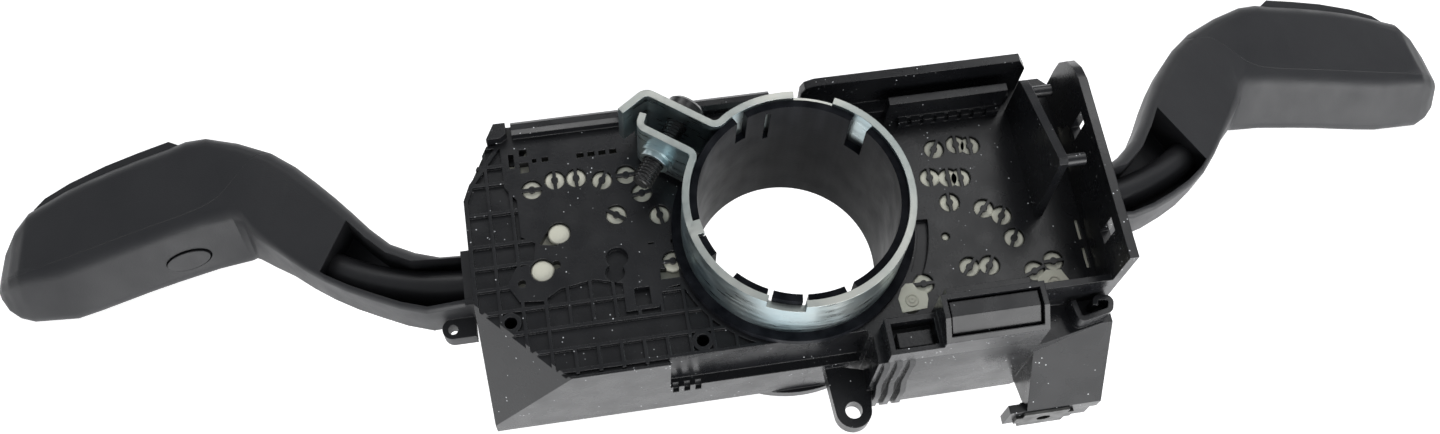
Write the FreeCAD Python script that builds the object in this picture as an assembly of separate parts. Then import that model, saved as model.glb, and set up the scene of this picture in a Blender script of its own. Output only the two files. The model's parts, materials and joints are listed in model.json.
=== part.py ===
"""Combination stalk switch for a steering column.

Lengths are millimetres.  The origin is on the axis of the column bore, level with the
top of the ribbed switch plate.  +Z points out of the clamp side of the bore, +X along
the right-hand stalk and +Y towards the upper edge of the housing.
"""
import FreeCAD
import Part
import math
import os

V = FreeCAD.Vector

# Column bore, hub sleeve and clamp band
bore_radius = 22.2
hub_wall = 1.65
hub_bottom = -26.5
hub_top = 17.0
flange_radius = 27.6
flange_height = 2.0
band_gap = 0.05
band_thickness = 1.6
band_top = 18.0
band_fold_bottom = 5.0
collar_inner = bore_radius + 4.8
collar_wall = 2.0

# Clamp screw, M5
screw_radius = 2.5
screw_height = 10.2
screw_pitch = 0.8
screw_travel = 1.6
washer_radius = 5.2
washer_thickness = 1.2
screw_head_radius = 4.5
screw_head_height = 3.0
screw_reach = 9.0
nut_radius = 4.0
nut_height = 2.4

# Housing
wall = 2.0
plate_top = 0.0
rib_height = 1.0
plate_bottom = -2.4
shell_bottom = -30.5
cover_thickness = 2.5
plate_hole_gap = 0.15
rib_width = 0.8
rib_pitch = 5.06
key_radius = 2.4
key_bar = 0.8
key_button_radius = 0.8
cover_bottom = shell_bottom - cover_thickness

# Clip nut on the leg, M4
clip_thread_radius = 1.65

# Printed board and its rivets
board_thickness = 1.6
board_bottom = plate_bottom - board_thickness
board_gap = 1.65
rivet_radius = 0.9
rivet_head_radius = 1.3

# Cover screws
tapping_radius = 1.25
tapping_head_radius = 2.6
tapping_head_height = 1.8
boss_radius = 3.0

# Switch mechanism behind each stalk
pivot_x = 47.0
pivot_y = 4.0
swing_pin_radius = 2.0
swing_boss_radius = 3.4
lever_x = 62.0
lever_z = -19.0
lever_pin_radius = 2.0
running_gap = 0.05
side_gap = 0.3
tail_low = -3.0
tail_high = 10.5
cheek = 3.7
plunger_x = 37.5
plunger_radius = 2.4
plunger_travel = 0.8

# Stalks
shell_wall = 2.0
seam_lean = 0.577
recess_wall = 1.4
recess_shoulder = 3.4
recess_depth = 11.0
conduit_radius = 4.0
rocker_proud = 1.5
rocker_pin_radius = 1.2
button_travel = 1.5


def box(x0, x1, y0, y1, z0, z1):
    return Part.makeBox(x1 - x0, y1 - y0, z1 - z0, V(x0, y0, z0))


def cylinder(x, y, z0, z1, radius):
    return Part.makeCylinder(radius, z1 - z0, V(x, y, z0))


def extrude(corners, direction):
    return Part.Face(Part.makePolygon(corners + [corners[0]])).extrude(direction)


def prism(outline, z0, z1):
    return extrude([V(x, y, z0) for x, y in outline], V(0, 0, z1 - z0))


def prism_x(outline, x0, x1):
    """Outline of (y, z) points run from x0 to x1."""
    return extrude([V(x0, y, z) for y, z in outline], V(x1 - x0, 0, 0))


def prism_y(outline, y0, y1):
    """Outline of (x, z) points run from y0 to y1."""
    return extrude([V(x, y0, z) for x, z in outline], V(0, y1 - y0, 0))


def turned(shape, angle, x=0.0, y=0.0):
    shape.rotate(V(x, y, 0), V(0, 0, 1), angle)
    return shape


def tube(outer, inner, z0, z1, x=0.0, y=0.0):
    return cylinder(x, y, z0, z1, outer).cut(cylinder(x, y, z0 - 1, z1 + 1, inner))


def ring_sector(inner, outer, start, end, z0, z1):
    """Part of a ring between two angles, measured anticlockwise from +X."""
    wedge = Part.makeCylinder(outer, z1 - z0, V(0, 0, z0), V(0, 0, 1), end - start)
    wedge = wedge.cut(Part.makeCylinder(inner, z1 - z0 + 2, V(0, 0, z0 - 1)))
    return turned(wedge, start)


def joined(shapes):
    return shapes[0].fuse(shapes[1:]).removeSplitter()


def mirrored(shape):
    return shape.mirror(V(0, 0, 0), V(1, 0, 0))


def rounded_wire(corners):
    """Closed wire through (point, radius) corners with an arc at each of them."""
    ends = []
    count = len(corners)
    for i in range(count):
        point, radius = corners[i]
        back = (corners[i - 1][0] - point).normalize()
        ahead = (corners[(i + 1) % count][0] - point).normalize()
        half = math.acos(max(-1.0, min(1.0, back.dot(ahead)))) / 2
        run = radius / math.tan(half)
        middle = point + (back + ahead).normalize() * (radius / math.sin(half) - radius)
        ends.append((point + back * run, middle, point + ahead * run))
    edges = []
    for i in range(count):
        start, middle, end = ends[i]
        edges.append(Part.Arc(start, middle, end).toShape())
        edges.append(Part.LineSegment(end, ends[(i + 1) % count][0]).toShape())
    return Part.Wire(edges)


def beyond_plane(p1, p2, p3, size):
    """Block on the side of a plane from which its three points run anticlockwise."""
    across = (p2 - p1).normalize()
    normal = across.cross(p3 - p1).normalize()
    up = normal.cross(across)
    centre = (p1 + p2 + p3) / 3
    signs = ((-1, -1), (1, -1), (1, 1), (-1, 1))
    corners = [centre + across * (a * size) + up * (b * size) for a, b in signs]
    return extrude(corners, normal * size), normal


def bent_side(path, shift, bend):
    """Points of one side of a bent sheet: its ends, and an arc at each bend."""
    places = []
    arcs = []
    for i in range(len(path) - 1):
        ahead = (path[i + 1] - path[i]).normalize()
        left = V(-ahead.y, ahead.x, 0)
        if i == 0:
            places.append(path[0] + left * shift)
        if i == len(path) - 2:
            places.append(path[-1] + left * shift)
        else:
            after = (path[i + 2] - path[i + 1]).normalize()
            after_left = V(-after.y, after.x, 0)
            turn = 1 if ahead.cross(after).z > 0 else -1
            run = bend * math.tan(math.acos(ahead.dot(after)) / 2)
            centre = path[i + 1] - ahead * run + left * (turn * bend)
            middle = centre + (path[i + 1] - centre).normalize() * (bend - turn * shift)
            arcs.append((path[i + 1] - ahead * run + left * shift, middle,
                         path[i + 1] + after * run + after_left * shift))
    return places, arcs


def strip(points, thickness, z0, z1, bend):
    """Upright sheet along a path, with its bends rounded on the centre line."""
    path = [V(point[0], point[1], z0) for point in points]
    loop = []
    for shift in (-thickness / 2, thickness / 2):
        ends, arcs = bent_side(path, shift, bend)
        stops = [ends[0]] + [place for arc in arcs for place in arc[::2]] + [ends[1]]
        edges = [Part.LineSegment(stops[i], stops[i + 1]).toShape()
                 for i in range(0, len(stops), 2)]
        edges += [Part.Arc(*arc).toShape() for arc in arcs]
        loop.append((edges, ends))
    caps = [Part.LineSegment(loop[0][1][k], loop[1][1][k]).toShape() for k in (0, 1)]
    wire = Part.Wire(Part.__sortEdges__(loop[0][0] + loop[1][0] + caps))
    return Part.Face(wire).extrude(V(0, 0, z1 - z0))


def save(name, shape):
    shape.exportStep("parts/" + name + ".step")


# Outlines of the two housing halves; the joint between them is at x = 0
left_outline = [(0, -28), (0, 34.4), (-64.4, 34.4), (-71.4, 21), (-73, 17.1), (-73, -28)]
left_cavity = [(0, -24.2), (0, 28), (-2, 28), (-2, 32.4), (-63.2, 32.4), (-69.5, 20.4),
               (-71, 16.7), (-71, -26), (-34, -26), (-34, -24.2)]
right_outline = [(0, -28), (13, -28), (13, -34.5), (50, -34.5), (50, -25.7),
                 (68, -25.7), (68, 27), (65, 30), (0, 30)]
right_cavity = [(0, -24.2), (15, -24.2), (15, -32.5), (50, -32.5), (50, -24.2),
                (66, -24.2), (66, 26.2), (64.2, 28), (0, 28)]
left_screws = [(-65.4, -13.4), (-24.3, -23.4), (-61.5, 28.6), (-12.5, 29.2)]
right_screws = [(60, 23), (31, 24.5), (19.2, -28.5), (60, -20.5)]
rivets = [(22.8, -21.9), (55.8, -22.0)]


def trough(x0, x1):
    """Hollow along the lower wall, open to the outside above a rail."""
    top = V(x0, -26.5, 0.1)
    foot = V(x0, -25.8, -17.5)
    edges = [
        Part.Arc(top, V(x0, -25.3, -9), foot).toShape(),
        Part.LineSegment(foot, V(x0, -29, -17.5)).toShape(),
        Part.LineSegment(V(x0, -29, -17.5), V(x0, -29, 0.1)).toShape(),
        Part.LineSegment(V(x0, -29, 0.1), top).toShape(),
    ]
    return Part.Face(Part.Wire(edges)).extrude(V(x1 - x0, 0, 0))


def key_hole(x, y, angle):
    """Round hole crossed by a bar that carries a round button."""
    hole = cylinder(x, y, plate_bottom - 0.1, 0.1, key_radius)
    bar = turned(box(x - 4, x + 4, y - key_bar / 2, y + key_bar / 2, -3, 1), angle, x, y)
    return hole.cut([bar, cylinder(x, y, -3, 1, key_button_radius)])


def hole(x, y, radius):
    return cylinder(x, y, plate_bottom - 0.1, 0.1, radius)


def window(x, y, width, height):
    return box(x - width / 2, x + width / 2, y - height / 2, y + height / 2,
               plate_bottom - 0.1, 0.1)


def housing_bosses(screws, side):
    """Screw bosses and the swing-pin boss under the plate."""
    solid = [cylinder(x, y, shell_bottom, plate_bottom, boss_radius) for x, y in screws]
    solid.append(cylinder(side * pivot_x, pivot_y, -6.6, plate_bottom, swing_boss_radius))
    holes = [cylinder(x, y, shell_bottom - 0.1, -12, tapping_radius) for x, y in screws]
    holes.append(cylinder(side * pivot_x, pivot_y, -6.7, -3.0, swing_pin_radius))
    return solid, holes


def left_housing():
    base = plate_top - rib_height
    body = prism(left_outline, shell_bottom, base)
    facet, outward = beyond_plane(V(-53.8, -27.9, 0), V(-72.8, -8.1, 0),
                                  V(-72, -28, -26.6), 60)
    inner_facet = facet.copy()
    inner_facet.translate(outward * -wall)
    cavity = prism(left_cavity, shell_bottom - 0.1, plate_bottom).cut(inner_facet)
    cavity = cavity.fuse(box(-34.1, 0, -26, -24.1, shell_bottom - 0.1, -19.5))
    body = body.cut(cavity)

    # Lattice of ribs on the plate, with a smooth area bounded by a raised contour
    smooth = [(-62.8, 29.5), (-62.8, 19.5), (-60.3, 16), (-60.3, 7), (-57.2, 5),
              (-58.3, -0.8), (-62.5, -1.5), (-64.4, -4.6), (-62.5, -8), (-58, -8.5),
              (-54, -6.2), (-46, -5), (-39.2, -7), (-39.2, -13.6), (-33.2, -13.6),
              (-32.2, -9.6), (-26.5, -8.8), (-10, 0), (-10, 29.5)]
    grow = Part.Face(Part.makePolygon([V(x, y, base) for x, y in smooth + smooth[:1]]))
    contour = grow.makeOffset2D(rib_width, 2, False, False, True)
    contour = contour.extrude(V(0, 0, rib_height))
    smooth_block = prism(smooth, base, 1)
    ribs = []
    for i in range(12):
        x = -67.4 + rib_pitch * i
        half = rib_width / 2
        ribs.append(box(x - half, x + half, -16, 30, base, plate_top))
        ribs.append(box(x - half, x + half, -27, -21, base, plate_top))
        if x < -56.5 or x > -27:
            ribs.append(box(x - half, x + half, -21, -16, base, plate_top))
    for y in (29.8, 24.9, 20.6, 13.3, 5.5, 0.2, -5, -10.6, -15.9, -21, -26):
        ribs.append(box(-72.5, 0, y - rib_width / 2, y + rib_width / 2, base, plate_top))
    rim = prism([(0, -28), (0, 31), (-63.6, 31), (-71.4, 21), (-73, 17.1), (-73, -28)],
                base, plate_top)
    rim = rim.cut(prism([(1, -27.4), (1, 30), (-63.2, 30), (-70.4, 20.6), (-72, 16.9),
                         (-72, -27.4)], base - 1, 1))
    edge_rib = box(-54, 0, -26.5, -25.9, base, plate_top)
    lattice = joined(ribs + [rim, edge_rib]).cut([smooth_block])
    lattice = lattice.common(prism(left_outline, base - 1, 1))
    lattice = lattice.fuse(contour.common(box(-73, 0, -28, 31, base, 1)))
    ring = tube(flange_radius + 1, bore_radius - 2, base, plate_top).common(box(-30, 0, -26.5, 30, base, 1))
    screw_rings = [cylinder(x, y, base, plate_top, 2.35) for x, y in left_screws[:2]]
    body = body.fuse([lattice, ring] + screw_rings)

    # Upper lip, with a saw cut before the corner
    lip = [(31.2, base), (34.4, base), (34.4, 2.1), (33.5, 3), (32.1, 3), (31.2, 2.1)]
    shelf = box(-64.4, 0, 30, 34.4, base, plate_top)
    corner = prism([(-64.4, 34.4), (-66.4, 30.6), (-63.2, 30.6), (-61.7, 31.6),
                    (-61.7, 34.4)], base, 2.6)
    parts = [body, prism_x(lip, -60.5, 0), shelf, corner]
    solid, holes = housing_bosses(left_screws, -1)
    body = joined(parts + solid).cut(holes)

    cuts = [facet, trough(-32, 0.1)]
    cuts += [box(-31.4 + 2.6 * i, -30.0 + 2.6 * i, -28.1, -26.9, -21.5, -17)
             for i in range(3)]
    cuts.append(cylinder(0, 0, -40, 10, bore_radius + hub_wall + plate_hole_gap))
    cuts.append(box(-74, -70.5, -12, 20, shell_bottom - 0.1, -8))
    keys = [(-57.4, 17.9, 0), (-52, 19.6, 90), (-47.1, 19.5, 90), (-41.3, 18.1, 60),
            (-35.7, 18.7, 0), (-32.7, 13.7, 10), (-39.2, 9.1, -35), (-29.4, 7.7, 100),
            (-28.1, -3.9, 0)]
    cuts += [key_hole(x, y, angle) for x, y, angle in keys]
    cuts += [hole(-52.5, 6.4, 2.6), hole(-57.2, -2, 2.7), hole(-54, -1.2, 1)]
    cuts.append(prism([(-54.6, 7.9), (-57.2, 4.2), (-53.4, 3.4), (-50.3, 5.2)],
                      plate_bottom - 0.1, 0.1))
    cuts.append(prism([(-31.4, -8), (-31.2, -5.4), (-27, -6), (-27, -8)],
                      plate_bottom - 0.1, 0.1))
    shallow = -1.7
    cuts += [cylinder(-40.4, -1.4, shallow, 0.1, 2.5), cylinder(-41.3, -4.9, shallow, 0.1, 2.2)]
    cuts += [hole(-62, -4.6, 0.9), window(-35.9, -11.3, 3.4, 4.2)]
    for x, y in left_screws[:2]:
        cuts.append(cylinder(x, y, -13, 0.1, 1.4))
    cuts += [window(-61.3, 25.6, 1.2, 3.6), window(-58.5, 27.4, 1.7, 1.7),
             window(-58.5, 23.6, 2, 2.6), window(-56.1, 25.1, 1, 1),
             window(-53.6, 25.1, 1.5, 1.2), window(-27.4, 0.9, 0.9, 1),
             window(-25.6, 0.7, 0.9, 1), window(-32.4, 1, 1.3, 0.4)]
    cuts += [window(-45.5 + 2.53 * i, 25, 1.6, 1.2) for i in range(4)]
    return body.cut(cuts).removeSplitter()


def right_housing():
    body = prism(right_outline, shell_bottom, plate_top)
    lower_bay = prism([(50, -34.5), (68, -31), (68, -25.7), (50, -25.7)], shell_bottom, -3)
    cavity = prism(right_cavity, shell_bottom - 0.1, plate_bottom)
    bay_cavity = prism([(50, -32.5), (66, -29.3), (66, -24.1), (50, -24.1)],
                       shell_bottom - 0.1, -5)
    trough_cavity = box(0, 15.1, -26, -24.1, shell_bottom - 0.1, -19.5)
    body = body.fuse(lower_bay).cut([cavity, bay_cavity, trough_cavity])

    ear = joined([cylinder(9.1, -38.7, -24, -20, 4.2),
                  prism([(4.9, -38.7), (4.2, -27), (14.8, -30), (13.3, -38.7)], -24, -20)])
    hook = strip([(58.6, -26.8), (59.3, -31.5), (66.4, -30.1), (67.3, -27.4), (63.7, -26.8),
                  (63.3, -28.6)], 1.2, -3.1, 2.0, 1.1)
    fin = [(-34.4, 0), (-35.4, -2), (-35.4, -14), (-36.6, -18), (-36.6, -27),
           (-35.6, shell_bottom), (-34.4, shell_bottom)]
    outer_ribs = [prism_x(fin, 14.2 + 2.9 * i, 15.5 + 2.9 * i) for i in range(3)]

    # Leg below the right-hand bay
    slab = prism_x([(-30.5, -3), (-31.5, -3), (-44, -24), (-44, cover_bottom),
                    (-42, cover_bottom), (-42, -25), (-30.5, -6)], 50, 66.4)
    flange = prism_x([(-44, -24), (-44, cover_bottom), (-42, cover_bottom), (-42, -24)],
                     46, 66)
    web = [(-30.6, -3), (-31.5, -3), (-44, -24), (-44, -28), (-30.6, -30)]
    webs = [prism_x(web, 66.4, 68), prism_x([(-31, -5), (-43.5, -25), (-31, -30.4)], 50, 51.8)]

    solid, holes = housing_bosses(right_screws, 1)
    body = joined([body, ear, hook, slab, flange] + webs + outer_ribs + solid)
    cuts = holes + [trough(-0.1, 12)]
    cuts.append(cylinder(0, 0, -40, 10, bore_radius + hub_wall + plate_hole_gap))
    cuts.append(box(65.5, 69, -12, 20, shell_bottom - 0.1, -8))
    cuts.append(cylinder(9.1, -38.7, -25, -19, 2.0))
    cuts.append(Part.makeCylinder(2.1, 6, V(55, -46, -29), V(0, 1, 0)))
    cuts.append(ring_sector(flange_radius + 0.8, flange_radius + 3.4, -30, -4, -1.4, 0.1))
    cuts.append(cylinder(0, 0, 0, 20, flange_radius + plate_hole_gap))
    keys = [(36.3, 15.1, 60), (41.7, 15.6, 90), (44.9, 14.9, 90), (33.8, 8.1, 90),
            (38.1, 7.5, 90), (40.9, 7.1, 90), (37, 1.3, 90), (44.5, -1.3, 45),
            (48.2, -3.6, 60), (49.8, -9.4, 60), (38, -14.9, 45), (42.6, -15.2, 60),
            (26.8, -17.4, 0), (52.5, -18, 20), (57.3, -16.2, 0)]
    cuts += [key_hole(x, y, angle) for x, y, angle in keys]
    cuts += [hole(34.2, -6.9, 1)] + [hole(x, y, 2.2) for x, y in rivets]
    cuts.append(window(24.4, -21.2, 3.6, 3))
    cuts.append(window(54.6, -20.4, 3.6, 3))
    cuts += [box(64.4, 65.3, y, y + 5, plate_bottom - 0.1, 0.1) for y in (12, 5, -12, -19)]
    return body.cut(cuts).removeSplitter()


def right_bay_walls():
    """Walls, rail and plug frame that stand on the right-hand plate."""
    side_wall = prism_x([(-25.7, 0), (-25.7, 22), (17.5, 22), (21, 20.8), (24.5, 17.8),
                         (26.6, 13.5), (27, 9), (27, 0)], 66, 68)
    slots = [box(65, 69, y - 1.6, y + 1.6, 10, 18) for y in (10, -16)]
    bay_wall = box(49.8, 66.1, -25.7, -24.2, 0, 9)
    far_rail = prism_y([(6, 0), (6, 11), (6.8, 13), (9, 14), (57, 14), (59, 10), (59, 0)],
                       28, 30)
    channel = box(8, 56, 25, 28.1, 0, 3)
    inner_wall = box(26, 54, 23.2, 25.1, 0, 9.5)
    comb = box(29, 53, 21.7, 23.3, 0, 2.5)
    comb = comb.cut([box(31 + 3 * i, 32 + 3 * i, 21, 22.8, 0.5, 3) for i in range(7)])

    # Frame with a block inside it; both slope away at the lower side
    frame = prism_x([(-34.5, 0), (-34.5, 8), (-30, 12), (-24.6, 12), (-24.6, 0)], 26.8, 49.9)
    frame = frame.cut(box(28.0, 48.7, -33.4, -25.8, 5, 13))
    block = prism_x([(-32.9, 4.9), (-32.9, 8.2), (-29.6, 11.1), (-26.3, 11.1), (-26.3, 4.9)],
                    28.5, 48.2)
    back_strip = box(29, 48, -24.7, -22.3, 0, 9)
    pocket = box(15, 27, -34.5, -26.2, 0, 5.5)
    pocket = pocket.cut(box(16.2, 25.9, -33.4, -27.4, 0.6, 6))
    pocket_block = box(17.4, 24.8, -32.8, -29.4, 0.5, 4)
    body = joined([side_wall, bay_wall, far_rail, channel, inner_wall, comb, frame, block,
                   back_strip, pocket, pocket_block])
    return body.cut(slots + [cylinder(0, 0, -1, 20, flange_radius + plate_hole_gap)])


def front_cover():
    outline = [(-73, -28), (13, -28), (13, -34.5), (50, -34.5), (68, -31), (68, 27),
               (65, 30), (0, 30), (0, 34.4), (-64.4, 34.4), (-71.4, 21), (-73, 17.1)]
    plate = prism(outline, cover_bottom, shell_bottom)
    collar = cylinder(0, 0, -36, cover_bottom, collar_inner + collar_wall)
    pads = [cylinder(s * pivot_x, pivot_y, shell_bottom, -30.1, 4.5) for s in (-1, 1)]
    body = joined([plate, collar] + pads)
    cuts = [cylinder(0, 0, -40, 0, collar_inner)]
    cuts += [cylinder(s * pivot_x, pivot_y, -32, 0, swing_pin_radius) for s in (-1, 1)]
    cuts.append(box(28.5, 47.5, -32.2, -24.8, -40, 0))
    cuts += [cylinder(x, y, -40, 0, tapping_radius + 0.35)
             for x, y in left_screws + right_screws]
    return body.cut(cuts)


def column_hub():
    outer = bore_radius + hub_wall
    body = joined([cylinder(0, 0, hub_bottom, hub_top, outer),
                   cylinder(0, 0, 0, flange_height, flange_radius)])
    cuts = [cylinder(0, 0, -40, 40, bore_radius)]

    # Slots that leave springy fingers at the top of the sleeve
    slots = [(-98.5, -95.5, 4, 20), (-117.5, -114.5, 4, 20), (-75, -69, 4, 20),
             (-153, -137, 8, 20), (-168, -165, 4, 20), (-176, -168, 15.8, 20),
             (38, 49, 5, 20), (111, 118, 7, 20), (96, 99, 3, 15)]
    cuts += [ring_sector(bore_radius - 1, outer + 1, *slot) for slot in slots]
    return body.cut(cuts).removeSplitter()


# Ears of the clamp band: sheet centre-lines seen along the bore
along_ear = V(-0.8, 0.6, 0)
screw_axis = V(-0.6, -0.8, 0)
band_middle = bore_radius + hub_wall + band_gap + band_thickness / 2


def on_band(angle, out=0.0):
    """Point on the middle line of the band's ring, or a little outside it."""
    reach = band_middle + out
    return V(reach * math.cos(math.radians(angle)), reach * math.sin(math.radians(angle)),
             screw_height)


near_root = on_band(128.223, -0.133)
far_root = on_band(147.56, 0.112)
near_ear = near_root + along_ear * 9.5
ear_spacing = (far_root - near_root).dot(screw_axis)
far_ear = near_ear + screw_axis * ear_spacing
near_start = 120.3
far_start = 153.9


def clamp_band():
    inner = bore_radius + hub_wall + band_gap
    outer = inner + band_thickness
    ring = ring_sector(inner, outer, far_start, near_start + 360, flange_height, band_top)
    first = [on_band(near_start), near_root, near_ear + along_ear * 8.25,
             near_ear + along_ear * 10.72 + screw_axis * 7.04]
    second = [on_band(far_start), far_root, far_ear + along_ear * 5.4,
              far_ear + along_ear * 6.08 - screw_axis * 3.18]
    near = strip(first, band_thickness, flange_height, band_top, 2.2)
    far = strip(second, band_thickness, flange_height, band_top, 1.7)
    tab = turned(box(bore_radius + 0.1, inner + 0.4, -1.65, 1.65, band_top - band_thickness, band_top), 190)
    body = joined([ring, near, far, tab])
    cuts = [cylinder(0, 0, 0, band_top - band_thickness, inner)]
    cuts += [ring_sector(inner - 1, outer + 1, start, end, band_top - 3, 20)
             for start, end in ((-116, -97), (62, 83))]
    cuts.append(box(near_ear.x - 20, near_ear.x - 9.6, 20, 40, 0, band_fold_bottom))
    start = near_ear - screw_axis * 3
    cuts.append(Part.makeCylinder(screw_radius + 0.15, 16, start, screw_axis))
    return body.cut(cuts).removeSplitter()


def clamp_screw():
    """Revolved about its own axis, then laid along the screw axis."""
    seat = -band_thickness / 2 - washer_thickness
    end = ear_spacing + screw_reach
    top = seat - screw_head_height
    profile = [(0, top), (screw_head_radius - 0.8, top), (screw_head_radius, top + 0.8),
               (screw_head_radius, seat), (screw_radius, seat), (screw_radius, end - 0.8),
               (screw_radius - 0.7, end), (0, end)]
    wire = Part.makePolygon([V(r, 0, s) for r, s in profile + profile[:1]])
    body = Part.Face(wire).revolve(V(0, 0, 0), V(0, 0, 1), 360)
    sides = [V(2.0 * math.cos(math.radians(60 * i)), 2.0 * math.sin(math.radians(60 * i)), top)
             for i in range(6)]
    body = body.cut(extrude(sides, V(0, 0, 1.8)))
    return laid_on_screw_axis(body)


def laid_on_screw_axis(shape):
    turn = FreeCAD.Rotation(V(0, 0, 1), screw_axis)
    shape.Placement = FreeCAD.Placement(near_ear, turn).multiply(shape.Placement)
    return shape


def clamp_washer():
    seat = -band_thickness / 2
    return laid_on_screw_axis(tube(washer_radius, screw_radius + 0.05,
                                   seat - washer_thickness, seat))


def clamp_nut():
    seat = ear_spacing + band_thickness / 2
    body = joined([cylinder(0, 0, seat, seat + nut_height, nut_radius - 0.6),
                   cylinder(0, 0, seat, seat + 1.1, nut_radius)])
    return laid_on_screw_axis(body.cut(cylinder(0, 0, 0, 30, screw_radius + running_gap)))


def circuit_board():
    outline = [(-70.6, -25.6), (-34.4, -25.6), (-34.4, -23.9), (15.4, -23.9), (15.4, -32.1),
               (49.6, -32.1), (49.6, -23.9), (65.6, -23.9), (65.6, 26), (64, 27.6),
               (-2.4, 27.6), (-2.4, 32), (-62.9, 32), (-69.1, 20.2), (-70.6, 16.6)]
    board = prism(outline, board_bottom, plate_bottom)
    facet, outward = beyond_plane(V(-53.8, -27.9, 0), V(-72.8, -8.1, 0),
                                  V(-72, -28, -26.6), 60)
    facet.translate(outward * -(wall + 0.3))
    cuts = [facet, cylinder(0, 0, -9, 0, bore_radius + hub_wall + board_gap)]
    cuts += [cylinder(x, y, -9, 0, boss_radius + 0.3) for x, y in left_screws + right_screws]
    cuts += [cylinder(s * pivot_x, pivot_y, -9, 0, swing_boss_radius + 0.3) for s in (-1, 1)]
    cuts += [cylinder(x, y, -9, 0, rivet_radius) for x, y in rivets]
    return board.cut(cuts + board_pin_holes())


# Connector facing the driver
pin_size = 0.8
header_low = -32.2
header_high = -24.8
header_left = 28.5
header_right = 47.5
header_wall = 1.8


def pin_places():
    for row in (-30.0, -27.2):
        for i in range(8):
            yield 31.35 + 1.9 * i, row


def pin_block(x, y, z0, z1):
    half = pin_size / 2
    return box(x - half, x + half, y - half, y + half, z0, z1)


def board_pin_holes():
    return [pin_block(x, y, -9, 0) for x, y in pin_places()]


def connector_header():
    body = box(header_left, header_right, header_low, header_high, cover_bottom, -19)
    flange = box(header_left - 1.2, header_right + 1.2, -32.4, header_high + 1.2,
                 shell_bottom, -29)
    cavity = box(header_left + header_wall, header_right - header_wall,
                 header_low + 1.2, header_high - 1.2, -40, -21)
    notch = box(36.5, 39.5, -26.1, -25.4, -40, -21)
    body = joined([body, flange]).cut([cavity, notch])
    return body.cut([pin_block(x, y, -40, 0) for x, y in pin_places()])


def connector_pins():
    return Part.makeCompound([pin_block(x, y, -30.0, plate_bottom - 0.2)
                              for x, y in pin_places()])


def cover_screws():
    screws = []
    for x, y in left_screws + right_screws:
        head = cylinder(x, y, cover_bottom - tapping_head_height, cover_bottom,
                        tapping_head_radius)
        recess = joined([box(x - 1.5, x + 1.5, y - 0.35, y + 0.35, -36, -33.7),
                         box(x - 0.35, x + 0.35, y - 1.5, y + 1.5, -36, -33.7)])
        shank = cylinder(x, y, cover_bottom, -20, tapping_radius)
        screws.append(joined([head, shank]).cut(recess))
    return Part.makeCompound(screws)


def board_rivets():
    pieces = []
    for x, y in rivets:
        top = cylinder(x, y, plate_bottom, plate_bottom + 0.5, rivet_head_radius)
        top = top.cut(cylinder(x, y, plate_bottom + 0.3, plate_bottom + 1, 0.7))
        tail = cylinder(x, y, board_bottom - 0.5, board_bottom, rivet_head_radius)
        shank = cylinder(x, y, board_bottom, plate_bottom, rivet_radius)
        pieces.append(joined([top, tail, shank]))
    return Part.makeCompound(pieces)


def brace_panel():
    panel = prism_x([(23, 0), (23, 14), (20.5, 15.6), (-2.4, 25.4), (-3.6, 24.6), (-5, 0)],
                    55.5, 57.5)
    posts = [Part.makeCylinder(1.4, 4.5, V(57.4, y, z), V(1, 0, 0))
             for y, z in ((19.4, 14.4), (-2.0, 22.9))]
    return joined([panel] + posts)


def leg_clip():
    """Spring-steel clip nut folded over the flange of the leg."""
    thick = 0.8
    front = box(49.5, 60.5, -44 - thick, -44, cover_bottom - thick, -24.6)
    back = box(49.5, 60.5, -42, -42 + thick, cover_bottom - thick, -26)
    bend = box(49.5, 60.5, -44 - thick, -42 + thick, cover_bottom - thick, cover_bottom)
    collar = Part.makeCylinder(3.0, 2.4, V(55, -42 + thick, -29), V(0, 1, 0))
    lips = [box(48.0, 49.5, -44 - thick, -44, -31, -27), box(60.5, 62.0, -44 - thick, -44, -31, -27)]
    body = joined([front, back, bend, collar] + lips)
    return body.cut(Part.makeCylinder(clip_thread_radius, 12, V(55, -48, -29), V(0, 1, 0)))


# Mechanism pieces for the right-hand side; the left-hand ones are mirror images
def detent_cam():
    block = box(32.5, 40.6, -1.5, 9.5, shell_bottom, -28)
    grooves = [prism_x([(y - 0.6, -27.9), (y, -28.7), (y + 0.6, -27.9)], 30, 44)
               for y in (pivot_y - 1.33, pivot_y, pivot_y + 1.33)]
    return block.cut(grooves)


def cradle():
    low = tail_low - side_gap
    high = tail_high + side_gap
    block = box(42, 55.4, low - cheek, high + cheek, -30, -7)
    cheeks = [box(55.3, 65, low - cheek, low, -28, -9), box(55.3, 65, high, high + cheek, -28, -9)]
    inner = box(34, 42.1, -0.5, 8.5, -27, -9)
    body = joined([block, inner] + cheeks)
    cuts = [cylinder(pivot_x, pivot_y, -40, 0, swing_pin_radius + running_gap)]
    cuts.append(cylinder(plunger_x, pivot_y, -40, -12, plunger_radius + running_gap))
    cuts.append(Part.makeCylinder(lever_pin_radius, 40, V(lever_x, -15, lever_z), V(0, 1, 0)))
    return body.cut(cuts)


def swing_pin():
    return cylinder(pivot_x, pivot_y, -32, -3, swing_pin_radius)


def lever_pin():
    low = tail_low - side_gap - cheek
    high = tail_high + side_gap + cheek
    return Part.makeCylinder(lever_pin_radius, high - low, V(lever_x, low, lever_z), V(0, 1, 0))


def detent_plunger():
    body = cylinder(plunger_x, pivot_y, -26, -18, plunger_radius)
    tip = Part.makeCone(0.5, plunger_radius, 1.7, V(plunger_x, pivot_y, -27.7))
    return joined([body, tip])


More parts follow.
